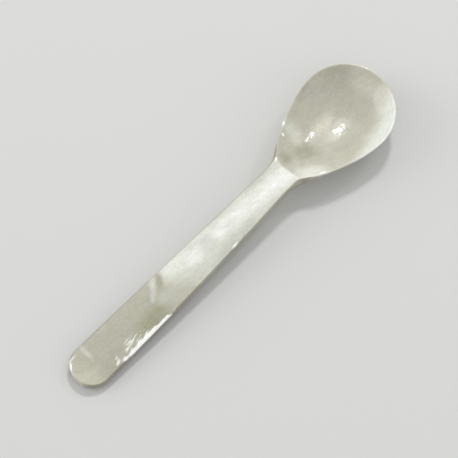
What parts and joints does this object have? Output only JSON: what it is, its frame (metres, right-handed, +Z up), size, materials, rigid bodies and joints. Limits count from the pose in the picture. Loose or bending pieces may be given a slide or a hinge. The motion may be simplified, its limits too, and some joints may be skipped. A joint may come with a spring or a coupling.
{
  "type": "salt spoon",
  "caption": "Small one-piece mother-of-pearl salt spoon with a deep egg-shaped bowl, a narrow waist and a flat handle that widens to a rounded end.",
  "frame": {"origin": "on the table under the middle of the spoon's length and width", "axes": "+X along the handle towards the bowl's tip, +Z up out of the hollow, +Y to the left of the handle"},
  "size_m": [0.08, 0.0186, 0.0056],
  "materials": {
    "mother_of_pearl": "polished mother-of-pearl, cream with pale grey-green clouds"
  },
  "bodies": {
    "root": {"spoon": "mother_of_pearl"}
  },
  "joints": []
}
